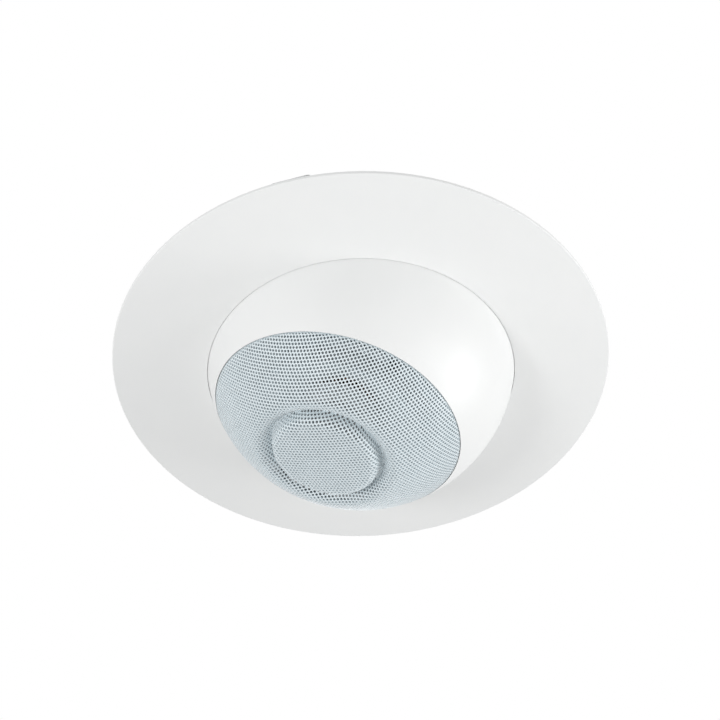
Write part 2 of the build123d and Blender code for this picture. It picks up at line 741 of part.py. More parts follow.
def seal_ring(clearance):
    middle = (chord_r(BALL_R, SPLIT_BACK) + chord_r(BALL_IN_R, SPLIT_BACK)) / 2
    half = SEAL_W / 2 - clearance
    return depth_ring(middle - half, middle + half, -SPLIT_BACK - SEAL_T, -SPLIT_BACK)


def shell_seal():
    return seal_ring(SEAT_GAP)


def shell_screws():
    one = screw(SHELL_SCREW_D, SHELL_SCREW_L, SHELL_HEAD_D, SHELL_HEAD_T)
    return group([Pos(x, y, -SHELL_SEAT_W) * one for x, y in shell_screw_places()])


def trunnion_pins():
    """Shoulder screws: threaded end in the ball, shoulder in the bush, head sunk in the ring."""
    seat = trunnion_seat_y()
    head = head_seat_y() + 2 * SEAT_GAP
    one = cross_rod(TRUNNION_THREAD_D / 2, seat - TRUNNION_THREAD_L, seat)
    one += cross_rod(TRUNNION_D / 2, seat, head)
    one += cross_rod(TRUNNION_HEAD_D / 2, head, head + TRUNNION_HEAD_T)
    return group([one, Rot(0, 0, 180) * one])


# Grille: one formed cap with a ring groove round a raised button


def grille_side(sphere_r, skirt_r, shift):
    """One skin of the cap's section, from the skirt's foot to the button's top.

    shift moves the groove's walls by the sheet's thickness, from the outer skin to the inner one.
    """
    ridge_r = RIDGE_R + shift / 2
    floor_w = chord_r(BALL_R, RIDGE_R) - GROOVE_DEPTH - shift
    floor_half = GROOVE_FLOOR_W / 2 + shift / 2
    button_r = BUTTON_R - shift
    edge_w = chord_r(BALL_R, RIDGE_R) + BUTTON_EDGE_RISE - shift
    skirt_w = chord_r(sphere_r, skirt_r)
    ridge_w = chord_r(sphere_r, ridge_r)
    return [
        Line((skirt_r, -BAFFLE_W), (skirt_r, -skirt_w)),
        sphere_arc(sphere_r, skirt_w, ridge_w),
        Polyline(
            (ridge_r, -ridge_w),
            (GROOVE_FLOOR_R + floor_half, -floor_w),
            (GROOVE_FLOOR_R - floor_half, -floor_w),
            (button_r, -edge_w),
        ),
        cap_arc(button_r, edge_w, BUTTON_CROWN),
    ], (ridge_r, -ridge_w), (button_r, -edge_w), (skirt_r, -skirt_w)


def rounded(face, corner, radius):
    """Round the one corner of a section that lies at a given place."""
    place = Vector(corner[0], corner[1])
    nearest = face.vertices().sort_by_distance(place)[0]
    return fillet(nearest, radius)


def grille_cap():
    outer, ridge, button, edge = grille_side(BALL_R, GRILLE_R, 0)
    inner_skin = grille_side(BALL_R - GRILLE_T, GRILLE_R - GRILLE_T, GRILLE_T)
    inner, inner_ridge, inner_button, inner_edge = inner_skin
    top = Line(outer[-1] @ 1, inner[-1] @ 1)
    foot = Line(outer[0] @ 0, inner[0] @ 0)
    section = make_face([*outer, *inner, top, foot])
    section = rounded(section, ridge, RIDGE_ROUND)
    section = rounded(section, button, BUTTON_ROUND)
    section = rounded(section, edge, GRILLE_BEND)
    section = rounded(section, inner_ridge, RIDGE_ROUND - GRILLE_T)
    section = rounded(section, inner_button, BUTTON_ROUND - GRILLE_T)
    section = rounded(section, inner_edge, GRILLE_BEND / 3)
    return revolve(Plane.XZ * section, Axis.Z)


def hole_places():
    """Hexagonal lattice laid over the cap by arc length from its centre: (arc, turn) pairs."""
    reach = BALL_R * math.radians(GRILLE_HALF_ANGLE) - HOLE_D / 2 - HOLE_EDGE
    rows = int(reach / (HOLE_PITCH * math.sqrt(3) / 2))
    columns = int(reach / HOLE_PITCH) + 1
    places = []
    for row in range(-rows, rows + 1):
        for column in range(-columns, columns + 1):
            x = (column + (row % 2) / 2) * HOLE_PITCH
            y = row * HOLE_PITCH * math.sqrt(3) / 2
            arc = math.hypot(x, y)
            if arc <= reach:
                places.append((arc, math.degrees(math.atan2(y, x))))
    return places


def grille():
    punches = []
    for arc, turn in hole_places():
        lean = math.degrees(arc / BALL_R)
        punch = depth_rod(HOLE_D / 2, BAFFLE_W, BALL_R + GRILLE_T)
        punches.append(Rot(0, 0, turn) * Rot(0, lean, 0) * punch)
    return grille_cap() - punches


# Woofer


def driver_gasket():
    body = depth_ring(DRIVER_BORE_R, DRIVER_R, BAFFLE_W, RIM_BACK_W)
    for x, y in driver_screw_places():
        body -= depth_rod(DRIVER_SCREW_D / 2 + SEAT_GAP, BAFFLE_W, RIM_BACK_W, x, y)
    return body


def basket_ledge_r():
    return SPIDER_R + BASKET_T


def driver_basket():
    """Pressed frame: front rim, raked wall with windows, spider ledge and foot on the top plate."""
    ledge_w = SPIDER_DEPTH
    ledge_r = basket_ledge_r()
    foot_w = TOP_PLATE_DEPTH
    ledge_in = SPIDER_R - 2 * BASKET_T
    body = depth_lathe([
        (DRIVER_R, RIM_FRONT_W),
        (DRIVER_R, RIM_BACK_W),
        (BASKET_MOUTH_R, RIM_BACK_W),
        (ledge_r + BASKET_T, ledge_w - BASKET_T),
        (ledge_in + BASKET_T, ledge_w - BASKET_T),
        (ledge_in + BASKET_T, foot_w),
        (GAP_R + BASKET_T, foot_w),
        (GAP_R + BASKET_T, foot_w + BASKET_T),
        (ledge_in, foot_w + BASKET_T),
        (ledge_in, ledge_w),
        (ledge_r, ledge_w),
        (BASKET_RIM_IR, RIM_BACK_W),
        (BASKET_RIM_IR, RIM_FRONT_W),
    ])
    window = arc_block(ledge_r, DRIVER_R, 2 * BASKET_T - RIM_BACK_W, -ledge_w - BASKET_T, BASKET_WINDOW_ANGLE)
    step = 360.0 / BASKET_WINDOWS
    body -= [Rot(0, 0, step * n) * window for n in range(BASKET_WINDOWS)]
    for x, y in driver_screw_places():
        body -= depth_rod(DRIVER_SCREW_D / 2 + SEAT_GAP, RIM_BACK_W, RIM_FRONT_W, x, y)
    return body


def driver_screws():
    one = Rot(180, 0, 0) * screw(DRIVER_SCREW_D, DRIVER_SCREW_L, DRIVER_HEAD_D, DRIVER_HEAD_T)
    return group([Pos(x, y, -RIM_FRONT_W) * one for x, y in driver_screw_places()])


def surround():
    """Half-roll rubber edge between the cone and the basket's rim."""
    outer_r = BASKET_RIM_IR + SURROUND_W / 2
    middle_r = BASKET_RIM_IR
    low = RIM_FRONT_W
    high = low + SURROUND_T
    rise = SURROUND_W / 2
    roll_in = ThreePointArc((CONE_R, -high), (middle_r, -high - rise), (outer_r, -high))
    under_r = SURROUND_W / 2 - SURROUND_T
    roll_under = ThreePointArc(
        (middle_r + under_r, -low), (middle_r, -low - under_r - SURROUND_T), (middle_r - under_r, -low)
    )
    lip_r = DRIVER_SCREW_R - DRIVER_HEAD_D / 2 - SURROUND_GAP
    glue_r = CONE_R - SURROUND_T
    return turned([
        roll_in,
        Polyline((outer_r, -high), (lip_r, -high), (lip_r, -low), (middle_r + under_r, -low)),
        roll_under,
        Polyline((middle_r - under_r, -low), (glue_r, -low), (glue_r, -high), (CONE_R, -high)),
    ])


def cone():
    """Paper cone, glued to the coil former at its neck and lying under the surround at its edge."""
    neck = FORMER_R
    edge_w = RIM_FRONT_W - SEAT_GAP
    return depth_lathe([
        (neck, CONE_BASE_W),
        (neck + 2 * CONE_T, CONE_BASE_W),
        (CONE_R - SURROUND_T, edge_w - CONE_T),
        (CONE_R + SURROUND_T, edge_w - CONE_T),
        (CONE_R + SURROUND_T, edge_w),
        (CONE_R - SURROUND_T - CONE_T, edge_w),
        (neck, CONE_BASE_W + 2 * CONE_T),
    ])


def voice_coil():
    """Former with its winding in the magnet's gap."""
    winding_mid = TOP_PLATE_DEPTH - TOP_PLATE_T / 2
    back = winding_mid - WINDING_H / 2
    body = depth_ring(COIL_R, FORMER_R - SEAT_GAP, back, CONE_BASE_W + 2 * CONE_T)
    return body + depth_ring(COIL_R, FORMER_R + WINDING_T, back, winding_mid + WINDING_H / 2)


def spider():
    """Corrugated centring disc between the former and the basket's ledge."""
    inner_r = FORMER_R + SEAT_GAP
    wave = SPIDER_W / (SPIDER_WAVES + 1)
    low = -SPIDER_DEPTH
    high = low - SPIDER_T
    outline = [Line((inner_r, low), (inner_r, high))]
    start = inner_r
    for n in range(SPIDER_WAVES):
        bend = wave / 4 if n % 2 else -wave / 4
        outline.append(ThreePointArc((start, high), (start + wave / 2, high + bend), (start + wave, high)))
        outline.append(ThreePointArc((start, low), (start + wave / 2, low + bend), (start + wave, low)))
        start += wave
    outline.append(Polyline((start, high), (SPIDER_R, high), (SPIDER_R, low), (start, low)))
    return turned(outline)


def top_plate():
    return depth_ring(GAP_R, TOP_PLATE_R, TOP_PLATE_BACK, TOP_PLATE_DEPTH)


def magnet():
    return depth_ring(MAGNET_HOLE_R, MAGNET_R, MAGNET_BACK, TOP_PLATE_BACK)


def back_plate():
    """Back plate and pole in one turned piece."""
    body = depth_rod(BACK_PLATE_R, MAGNET_BACK - BACK_PLATE_T, MAGNET_BACK)
    return body + depth_rod(POLE_R, MAGNET_BACK, TOP_PLATE_DEPTH)


# Tweeter


def tweeter_post():
    body = depth_rod(POST_R, TOP_PLATE_DEPTH, TWEETER_BACK)
    return body - depth_rod(POST_R / 2, TOP_PLATE_DEPTH, TWEETER_BACK)


def tweeter_housing():
    """Cup that tapers back to the post, open to the front."""
    inner_r = TWEETER_R - TWEETER_WALL
    floor = TWEETER_BACK + TWEETER_WALL
    return depth_lathe([
        (POST_R / 2, TWEETER_BACK),
        (inner_r - TWEETER_WALL, TWEETER_BACK),
        (TWEETER_R, floor + TWEETER_WALL),
        (TWEETER_R, TWEETER_FRONT),
        (inner_r, TWEETER_FRONT),
        (inner_r, floor + TWEETER_WALL),
        (inner_r - TWEETER_WALL, floor),
        (POST_R / 2, floor),
    ])


def tweeter_magnet():
    floor = TWEETER_BACK + TWEETER_WALL
    return depth_ring(POST_R / 2, TWEETER_MAGNET_R, floor, floor + TWEETER_MAGNET_T)


def tweeter_faceplate():
    return depth_lathe([
        (DOME_R + FACEPLATE_LAND, TWEETER_FRONT),
        (TWEETER_R, TWEETER_FRONT),
        (TWEETER_R - FACEPLATE_T / 2, TWEETER_FRONT + FACEPLATE_T),
        (DOME_R + FACEPLATE_LAND + FACEPLATE_T / 2, TWEETER_FRONT + FACEPLATE_T),
    ])


def tweeter_dome():
    """Soft dome with its flat rim held between housing and faceplate."""
    front = TWEETER_FRONT
    back = front - DOME_T
    rim_r = TWEETER_R - TWEETER_WALL - SEAT_GAP
    under_r = DOME_R - DOME_T
    outer = cap_arc(DOME_R, front, DOME_RISE)
    inner = cap_arc(under_r, back, DOME_RISE)
    rim = Polyline((under_r, -back), (rim_r, -back), (rim_r, -front), (DOME_R, -front))
    return turned([outer, Line(outer @ 1, inner @ 1), inner, rim])


# Rear of the ball


def crossover_board():
    body = depth_rod(BOARD_R, board_back_face(), -BOARD_BACK)
    for x, y in board_screw_places():
        body -= depth_rod(BOARD_SCREW_D / 2 + SEAT_GAP, board_back_face(), -BOARD_BACK, x, y)
    return body


def board_screws():
    one = Rot(180, 0, 0) * screw(BOARD_SCREW_D, BOARD_SCREW_L, BOARD_HEAD_D, BOARD_HEAD_T)
    return group([Pos(x, y, BOARD_BACK) * one for x, y in board_screw_places()])


def inductor():
    face = board_back_face()
    body = depth_rod(INDUCTOR_R, face - INDUCTOR_H, face, INDUCTOR_X)
    return body - depth_rod(INDUCTOR_BORE_R, face - INDUCTOR_H, face, INDUCTOR_X)


def capacitors():
    radius = CAPACITOR_D / 2
    one = cross_rod(radius, -CAPACITOR_L / 2, CAPACITOR_L / 2)
    centre_z = -board_back_face() + radius
    half = CAPACITOR_SPACING / 2
    return group([Pos(CAPACITOR_X + offset, 0, centre_z) * one for offset in (-half, half)])


def resistor():
    half = RESISTOR_L / 2
    low = -board_back_face()
    y_low = RESISTOR_Y - RESISTOR_W / 2
    return block(-half, half, y_low, y_low + RESISTOR_W, low, low + RESISTOR_W)


def lever_ear_x(number):
    return (number - 1) * LEVER_PITCH


def terminal_cup():
    """Recessed dish with three ears that carry the two levers."""
    flange_back = CUP_SEAT_W - CUP_FLANGE_T
    inner_r = CUP_R - CUP_WALL
    bottom = CUP_FLOOR_W + CUP_WALL
    body = depth_lathe([
        (0, bottom),
        (CUP_R, bottom),
        (CUP_R, CUP_SEAT_W),
        (CUP_FLANGE_R, CUP_SEAT_W),
        (CUP_FLANGE_R, flange_back),
        (inner_r, flange_back),
        (inner_r, CUP_FLOOR_W),
        (0, CUP_FLOOR_W),
    ])
    ear_r = LEVER_EAR_D / 2
    for number in range(3):
        low_x = lever_ear_x(number) - LEVER_EAR_T / 2
        high_x = low_x + LEVER_EAR_T
        y_low = LEVER_HINGE_Y - ear_r
        y_high = LEVER_HINGE_Y + ear_r
        body += block(low_x, high_x, y_low, y_high, -CUP_FLOOR_W, -LEVER_HINGE_W + ear_r)
    bore = Rot(0, 90, 0) * Cylinder(LEVER_STUB_R + RUNNING_GAP, 3 * LEVER_PITCH)
    body -= Pos(0, LEVER_HINGE_Y, -LEVER_HINGE_W) * bore & depth_rod(inner_r, flange_back, CUP_FLOOR_W)
    for x, y in terminal_screw_places():
        body -= countersunk(SEAT_GAP, x, y)
    return body


def countersunk(clearance, x, y):
    """Countersunk screw flush with the cup's flange."""
    face = CUP_SEAT_W - CUP_FLANGE_T
    shank_r = TERMINAL_SCREW_D / 2 + clearance
    head_r = TERMINAL_HEAD_D / 2 + clearance
    shape = depth_lathe([
        (0, face),
        (head_r, face),
        (shank_r, face + TERMINAL_HEAD_T),
        (shank_r, face + TERMINAL_SCREW_L),
        (0, face + TERMINAL_SCREW_L),
    ])
    return Pos(x, y, 0) * shape


def terminal_screws():
    return group([countersunk(0, x, y) for x, y in terminal_screw_places()])


def terminal_contacts():
    """Brass contact strips on the cup's floor, under the levers."""
    solids = []
    for side in (-1, 1):
        x = side * LEVER_PITCH / 2
        half = CONTACT_W / 2
        y_high = LEVER_HINGE_Y - LEVER_EAR_D / 2
        y_low = y_high - CONTACT_L
        solids.append(block(x - half, x + half, y_low, y_high, -CUP_FLOOR_W, -CUP_FLOOR_W + CONTACT_T))
    return group(solids)


def terminal_lever(side):
    """Push lever with a hinge barrel and two stub pins."""
    half = LEVER_W / 2
    body = block(-half, half, -LEVER_L, 0, LEVER_BARREL_R - LEVER_T, LEVER_BARREL_R)
    tip = body.edges().filter_by(Axis.Z).group_by(Axis.Y)[0]
    body = fillet(tip, LEVER_T)
    barrel = Rot(0, 90, 0) * Cylinder(LEVER_BARREL_R, LEVER_W)
    stub = Rot(0, 90, 0) * Cylinder(LEVER_STUB_R, LEVER_W + 2 * LEVER_STUB_L)
    return Pos(side * LEVER_PITCH / 2, LEVER_HINGE_Y, -LEVER_HINGE_W) * (body + barrel + stub)


def damping_foam():
    """Soft lining of the rear shell, cut away round the bosses."""
    outer_r = BALL_IN_R - FOAM_GAP
    inner_r = outer_r - FOAM_T
    body = turned([
        sphere_arc(outer_r, -FOAM_FRONT, -FOAM_BACK),
        Line((chord_r(outer_r, FOAM_BACK), FOAM_BACK), (chord_r(inner_r, FOAM_BACK), FOAM_BACK)),
        sphere_arc(inner_r, -FOAM_BACK, -FOAM_FRONT),
        Line((chord_r(inner_r, FOAM_FRONT), FOAM_FRONT), (chord_r(outer_r, FOAM_FRONT), FOAM_FRONT)),
    ])
    for x, y in shell_screw_places():
        body -= depth_rod(SHELL_BOSS_D / 2 + FOAM_GAP, -BALL_R, 0, x, y)
    for x, y in board_screw_places():
        body -= depth_rod(BOARD_POST_D / 2 + FOAM_GAP, -BALL_R, 0, x, y)
    return body


FIXED = (flange, ceiling_gasket, felt_ring, retaining_ring, retaining_screws, swivel_ring, trunnion_bushes)
CLIP = (clip_bracket, clip_pin, clip_spring, clip_arm, clip_foot)
BALL = (
    ball_front_shell, ball_rear_shell, shell_seal, shell_screws, trunnion_pins, grille,
    driver_gasket, driver_basket, driver_screws, surround, cone, voice_coil, spider,
    top_plate, magnet, back_plate,
    tweeter_post, tweeter_housing, tweeter_magnet, tweeter_faceplate, tweeter_dome,
    crossover_board, board_screws, inductor, capacitors, resistor,
    terminal_cup, terminal_screws, terminal_contacts, damping_foam,
)


def main():
    os.makedirs("parts", exist_ok=True)
    for make in FIXED:
        export_step(make(), f"parts/{make.__name__}.step")
    for make in CLIP:
        shape = make()
        for number in range(CLIP_COUNT):
            export_step(at_clip(number, shape), f"parts/{make.__name__}_{number + 1}.step")
    for make in BALL:
        export_step(in_ball(make()), f"parts/{make.__name__}.step")
    for number, side in enumerate((-1, 1)):
        export_step(in_ball(terminal_lever(side)), f"parts/terminal_lever_{number + 1}.step")


main()
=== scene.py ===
"""Looks of the aimable in-ceiling speaker: finishes, the fine perforated grille, light and camera.

Lengths are in millimetres and become Blender's metres through MM. The ball's centre and its sound
axis come from the frame's joints.
"""
import json
import math
from typing import NamedTuple

import bmesh
import bpy
import numpy as np
from mathutils import Matrix, Vector


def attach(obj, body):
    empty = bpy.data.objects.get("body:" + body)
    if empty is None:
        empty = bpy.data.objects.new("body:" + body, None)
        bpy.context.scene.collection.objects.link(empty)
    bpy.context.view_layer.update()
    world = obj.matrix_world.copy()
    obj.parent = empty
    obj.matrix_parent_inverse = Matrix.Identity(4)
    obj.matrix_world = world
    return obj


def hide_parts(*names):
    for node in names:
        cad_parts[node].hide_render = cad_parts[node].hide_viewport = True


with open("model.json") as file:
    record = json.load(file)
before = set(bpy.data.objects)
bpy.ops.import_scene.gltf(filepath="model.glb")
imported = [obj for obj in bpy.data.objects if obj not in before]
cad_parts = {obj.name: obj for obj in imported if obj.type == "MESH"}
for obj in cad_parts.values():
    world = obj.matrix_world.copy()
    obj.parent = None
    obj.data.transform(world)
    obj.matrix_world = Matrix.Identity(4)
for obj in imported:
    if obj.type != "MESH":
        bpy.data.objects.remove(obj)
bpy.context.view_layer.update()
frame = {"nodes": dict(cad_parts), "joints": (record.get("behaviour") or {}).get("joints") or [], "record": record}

MM = 0.001
UP = Vector((0, 0, 1))
WHITE = (1.0, 1.0, 1.0, 1.0)

# Grille cap, in the ball's frame: radius from the sound axis, depth from the ball's centre
BALL_R = 65.0
GRILLE_HALF_ANGLE = math.radians(53.0)
SHEET_T = 0.8
SKIRT = 4.3
RIDGE_R = 28.2
GROOVE_FLOOR_R = 23.45
GROOVE_FLOOR_W = 0.5
GROOVE_DEPTH = 4.6
BUTTON_R = 21.9
BUTTON_EDGE_RISE = 1.2
BUTTON_CROWN = 1.3

# How far from each corner of the cap's section its rounding starts
EDGE_REACH = 0.6
RIDGE_REACH = 3.8
FLOOR_REACH = 0.25
BUTTON_REACH = 2.3

# Points along the section before it is divided into even steps
BUTTON_POINTS = 60
DOME_POINTS = 120
BEND_POINTS = 12
SECTION_STEP = 0.1

# Perforation, laid out on the flat sheet before it is formed
HOLE_STEP = (1.581, 0.086)
ROW_STEP = (-0.577, 1.427)
HOLE_D = 1.22
HOLE_SIDES = 8
HOLE_TURN = math.radians(30.0)
BUTTON_STRETCH = 0.965
WALL_STRETCH = 1.2
OVER_EDGE = 1.0
EDGE_WEB = 0.15
LAST_CELL = 0.1

# Corners of the six-sided cell round a hole, in thirds of the two steps
CELL_CORNERS = np.array([(2, 1), (1, 2), (-1, 1), (-2, -1), (-1, -2), (1, -1)])
CELL_SIDES = len(CELL_CORNERS)

# The rows lean, so the lattice is laid out this many times as wide as the sheet
LATTICE_SPREAD = 2

# Foam ring between the rim and the ceiling
RING_IN_R = 95.55
RING_OUT_R = 100.45
RING_T = 1.0
RING_CROWN = 0.35
CROWN_POWER = 4
RING_ACROSS = 12
RING_TURNS = 240

# Meshes
WELD = 0.06
SHARP_ANGLE = math.radians(35.0)

# Camera
VIEW_AZIMUTH = math.radians(12.58)
VIEW_ELEVATION = math.radians(-46.78)
VIEW_ROLL = math.radians(-1.42)
VIEW_DISTANCE = 1248.0
RIM_FRONT_Z = -1.8
AIM_SIDE = -0.33
AIM_RISE = 3.21
SENSOR = 36.0
LENS = 148.9


class Lamp(NamedTuple):
    """Square lamp; its direction is given by the camera's own right, up and back directions."""

    direction: tuple
    size: float
    power: float


# Light
AMBIENT = 0.605
BACKDROP = 1.0
LAMP_DISTANCE = 1500.0
LAMPS = {
    "front_left": Lamp(direction=(-0.54, -0.05, 0.84), size=350.0, power=5.4),
    "right": Lamp(direction=(0.95, -0.2, 0.2), size=600.0, power=9.4),
    "front_right": Lamp(direction=(0.8, 0.0, 0.6), size=350.0, power=2.1),
    "left": Lamp(direction=(-0.83, 0.08, 0.53), size=400.0, power=2.7),
    "low": Lamp(direction=(-0.2, -0.58, 0.6), size=600.0, power=1.7),
}

# Floor
FLOOR_Z = -2400.0
FLOOR_SIZE = 12000.0
FLOOR_COLOUR = (0.8, 0.8, 0.8, 1.0)
FLOOR_ROUGHNESS = 0.9


def joint(name):
    return next(entry for entry in frame["joints"] if entry["name"] == name)


BALL_CENTRE = Vector(joint("tilt")["pos_m"])
SOUND_AXIS = Vector(joint("cone_travel")["axis"]).normalized()
HINGE_AXIS = Vector(joint("tilt")["axis"])
ROW_AXIS = SOUND_AXIS.cross(HINGE_AXIS).normalized()
ACROSS_AXIS = SOUND_AXIS.cross(ROW_AXIS)


# Objects


def new_object(name, data):
    """Object with that data, linked into the scene."""
    made = bpy.data.objects.new(name, data)
    bpy.context.scene.collection.objects.link(made)
    return made


def mesh_object(name, places, faces):
    """Welded mesh with soft shading up to its sharp edges."""
    mesh = bpy.data.meshes.new(name)
    mesh.from_pydata(places.tolist(), [], faces)
    work = bmesh.new()
    work.from_mesh(mesh)
    bmesh.ops.remove_doubles(work, verts=work.verts, dist=WELD * MM)
    bmesh.ops.recalc_face_normals(work, faces=work.faces)
    work.to_mesh(mesh)
    work.free()
    mesh.shade_smooth()
    mesh.set_sharp_from_angle(angle=SHARP_ANGLE)
    return new_object(name, mesh)


# Grille section


def arc_lengths(path):
    """Distance along a path from its start to each of its points."""
    steps = np.linalg.norm(np.diff(path, axis=0), axis=1)
    return np.concatenate([[0.0], np.cumsum(steps)])


class Section:
    """Half of the formed cap's outer skin, by its arc length from the middle to the skirt's foot."""

    def __init__(self, path):
        arc = arc_lengths(path)
        self.arc = np.arange(0.0, arc[-1], SECTION_STEP)
        self.radius = np.interp(self.arc, arc, path[:, 0])
        self.depth = np.interp(self.arc, arc, path[:, 1])
        slope_r = np.gradient(self.radius)
        slope_w = np.gradient(self.depth)
        length = np.hypot(slope_r, slope_w)
        self.normal_r = -slope_w / length
        self.normal_w = slope_r / length

    def arc_near(self, point):
        """Arc length of the place on the skin nearest to a (radius, depth) point."""
        gaps = np.hypot(self.radius - point[0], self.depth - point[1])
        return self.arc[np.argmin(gaps)]

    def at(self, arc, below):
        """Radius and depth of places a given distance below the outer skin."""
        radius = np.interp(arc, self.arc, self.radius - below * self.normal_r)
        depth = np.interp(arc, self.arc, self.depth - below * self.normal_w)
        return np.maximum(radius, 0.0), depth


def softened(path, corner, reach):
    """Replace a corner of a path by a curve that starts and ends that far from it."""
    arc = arc_lengths(path)
    middle = arc[np.argmin(np.linalg.norm(path - corner, axis=1))]
    start, end = (
        np.array([np.interp(middle + side, arc, path[:, axis]) for axis in (0, 1)])
        for side in (-reach, reach)
    )
    t = np.linspace(0.0, 1.0, BEND_POINTS)[:, None]
    bend = (1 - t) ** 2 * start + 2 * t * (1 - t) * corner + t**2 * end
    return np.vstack([path[arc < middle - reach], bend, path[arc > middle + reach]])


def crowned_top(edge_r, edge_w, rise):
    """Shallow dome from the axis to its edge, as (radius, depth) points."""
    sphere_r = (edge_r**2 + rise**2) / (2 * rise)
    angles = np.linspace(0.0, math.asin(edge_r / sphere_r), BUTTON_POINTS)
    centre_w = edge_w + rise - sphere_r
    return np.column_stack([sphere_r * np.sin(angles), centre_w + sphere_r * np.cos(angles)])


def cap_corners():
    """The section's corners before rounding: button, both sides of the groove's floor, ridge, edge."""
    ridge_w = math.sqrt(BALL_R**2 - RIDGE_R**2)
    floor_w = ridge_w - GROOVE_DEPTH
    half = GROOVE_FLOOR_W / 2
    edge = (BALL_R * math.sin(GRILLE_HALF_ANGLE), BALL_R * math.cos(GRILLE_HALF_ANGLE))
    return {
        "button": np.array([BUTTON_R, ridge_w + BUTTON_EDGE_RISE]),
        "floor_in": np.array([GROOVE_FLOOR_R - half, floor_w]),
        "floor_out": np.array([GROOVE_FLOOR_R + half, floor_w]),
        "ridge": np.array([RIDGE_R, ridge_w]),
        "edge": np.array(edge),
    }


def cap_section(corners):
    button = crowned_top(BUTTON_R, corners["button"][1], BUTTON_CROWN)
    angles = np.linspace(math.asin(RIDGE_R / BALL_R), GRILLE_HALF_ANGLE, DOME_POINTS)
    dome = BALL_R * np.column_stack([np.sin(angles), np.cos(angles)])
    foot = corners["edge"] - np.array([0.0, SKIRT])
    path = np.vstack([button, corners["floor_in"], corners["floor_out"], dome, foot])
    reaches = {
        "button": BUTTON_REACH,
        "floor_in": FLOOR_REACH,
        "floor_out": FLOOR_REACH,
        "ridge": RIDGE_REACH,
        "edge": EDGE_REACH,
    }
    for name, reach in reaches.items():
        path = softened(path, corners[name], reach)
    return Section(path)


class Forming:
    """Where a place of a flat perforated sheet ends up on the formed cap, by its distance from the middle."""

    def __init__(self, section, flat_marks, arc_marks):
        self.section = section
        self.flat_marks = flat_marks
        self.arc_marks = arc_marks

    def place(self, flat, below):
        """Places, in metres, of the sheet's flat (x, y) places."""
        arc = np.interp(np.hypot(flat[:, 0], flat[:, 1]), self.flat_marks, self.arc_marks)
        return self.spin(arc, np.arctan2(flat[:, 1], flat[:, 0]), below)

    def spin(self, arc, turn, below):
        """Places, in metres, by arc length along the section and turn round the sound axis."""
        radius, depth = self.section.at(arc, below)
        local = np.column_stack([radius * np.cos(turn), radius * np.sin(turn), depth])
        axes = np.array([ROW_AXIS, ACROSS_AXIS, SOUND_AXIS])
        return np.array(BALL_CENTRE) + MM * local @ axes


def cap_formings():
    """The button with its wall, and the dome from the groove's floor to just over the cap's edge."""
    corners = cap_corners()
    section = cap_section(corners)
    button_arc = section.arc_near(corners["button"]) - BUTTON_REACH
    floor_arc = section.arc_near((corners["floor_in"] + corners["floor_out"]) / 2)
    ridge_arc = section.arc_near(corners["ridge"]) + RIDGE_REACH
    edge_arc = section.arc_near(corners["edge"]) + OVER_EDGE
    button_flat = button_arc / BUTTON_STRETCH
    wall_flat = button_flat + (floor_arc - button_arc) / WALL_STRETCH
    button = Forming(section, [0.0, button_flat, wall_flat], [0.0, button_arc, floor_arc])
    ridge_flat = BALL_R * math.asin(RIDGE_R / BALL_R) + RIDGE_REACH
    dome_flats = [ridge_flat + arc - ridge_arc for arc in (floor_arc, edge_arc)]
    return button, Forming(section, dome_flats, [floor_arc, edge_arc])


# Grille perforation


def on_sheet(steps):
    """Flat places of points given in steps along and across the perforation's rows."""
    return steps @ np.array([HOLE_STEP, ROW_STEP])


def clear_of(inner, margin):
    """A margin outside the sheet's inner border, or the middle where it has none."""
    return inner + margin if inner else 0.0


def lattice_cells(inner, outer):
    """Step numbers of the cells whose middles lie on the sheet, clear of its borders."""
    last = int(LATTICE_SPREAD * outer / math.hypot(*HOLE_STEP)) + 1
    numbers = np.arange(-last, last + 1)
    cells = np.stack(np.meshgrid(numbers, numbers), axis=-1).reshape(-1, 2)
    reach = np.hypot(*on_sheet(cells).T)
    return cells[(reach >= clear_of(inner, LAST_CELL)) & (reach <= outer - LAST_CELL)]


def shared_corners(cells):
    """The cells' corners, each once, and the corner numbers of each cell."""
    thirds = (3 * cells[:, None, :] + CELL_CORNERS[None]).reshape(-1, 2)
    unique, number = np.unique(thirds, axis=0, return_inverse=True)
    return on_sheet(unique / 3), number.reshape(-1, CELL_SIDES)


def hole_corners(cells, inner, outer):
    """Corners of the hole in each cell, kept a web's width away from the sheet's borders."""
    turns = HOLE_TURN + 2 * np.pi * np.arange(HOLE_SIDES) / HOLE_SIDES
    ring = HOLE_D / 2 * np.column_stack([np.cos(turns), np.sin(turns)])
    holes = (on_sheet(cells)[:, None, :] + ring[None]).reshape(-1, 2)
    reach = np.hypot(*holes.T)
    return holes * (np.clip(reach, clear_of(inner, EDGE_WEB), outer - EDGE_WEB) / reach)[:, None]


def border_edges(cell_corners):
    """Directed edges that only one cell has."""
    start = cell_corners.ravel()
    end = np.roll(cell_corners, -1, axis=1).ravel()
    base = cell_corners.max() + 1
    alone = ~np.isin(end * base + start, start * base + end)
    return np.column_stack([start, end])[alone]


def pull_to(corners, numbers, reach):
    """Move the numbered corners in or out to one distance from the middle."""
    corners[numbers] *= (reach / np.hypot(*corners[numbers].T))[:, None]


def ring_pattern(outer_count, inner_count):
    """Triangles between two rings of corners, as (ring, number) triples going round both at once."""
    outer = inner = 0
    triangles = []
    while outer < outer_count or inner < inner_count:
        outer_next = (outer + 1) / outer_count
        inner_next = (inner + 1) / inner_count
        here = (0, outer % outer_count)
        hole = (1, inner % inner_count)
        if outer_next <= inner_next and outer < outer_count:
            outer += 1
            triangles.append((here, (0, outer % outer_count), hole))
        else:
            inner += 1
            triangles.append((here, (1, inner % inner_count), hole))
    return triangles


